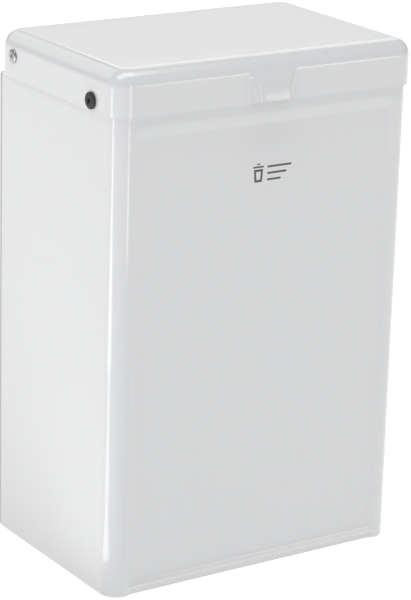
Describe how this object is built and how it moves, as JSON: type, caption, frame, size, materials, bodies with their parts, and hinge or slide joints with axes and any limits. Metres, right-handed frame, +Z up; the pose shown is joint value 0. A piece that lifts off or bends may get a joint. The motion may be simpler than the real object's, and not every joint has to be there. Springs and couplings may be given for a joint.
{
  "type": "wall-mounted hygiene waste bin",
  "caption": "Small wall-mounted hygiene waste bin of folded white enamelled steel, with a pressed rear-hinged lid, a finger pull, rubber lid buffers and a hinged wire bag frame.",
  "frame": {"origin": "middle of the bottom of the whole bin's bounding box", "axes": "+Z up, -Y towards the user, +Y into the wall, +X to the right of someone facing the bin"},
  "size_m": [0.2202, 0.1504, 0.33],
  "materials": {
    "enamel": "gloss white powder coat",
    "zinc_wire": "zinc plated wire",
    "zinc_plate": "zinc plated sheet",
    "rivet_steel": "plain bright steel",
    "nylon": "natural nylon",
    "rubber": "black moulded rubber"
  },
  "bodies": {
    "bin": {"body_wrap": "enamel", "back_panel": "enamel", "base_pan": "enamel", "frame_bracket_left": "zinc_plate", "frame_bracket_right": "zinc_plate", "frame_rest_left": "zinc_plate", "frame_rest_right": "zinc_plate", "hinge_rivet_left": "rivet_steel", "hinge_rivet_right": "rivet_steel", "hinge_washer_left": "nylon", "hinge_washer_right": "nylon", "wall_pad_low_left": "rubber", "wall_pad_low_right": "rubber", "wall_pad_high_left": "rubber", "wall_pad_high_right": "rubber"},
    "lid": {"lid": "enamel", "lid_buffer_left": "rubber", "lid_buffer_right": "rubber"},
    "bag_frame": {"bag_frame": "zinc_wire"}
  },
  "joints": [
    {"name": "lid_hinge", "type": "hinge", "parent": "bin", "child": "lid", "pos_m": [0, 0.05275, 0.3148], "axis": [-1, 0, 0], "range_deg": [0, 90]},
    {"name": "bag_frame_hinge", "type": "hinge", "parent": "bin", "child": "bag_frame", "pos_m": [0, 0.06475, 0.272], "axis": [-1, 0, 0], "range_deg": [0, 25]}
  ]
}
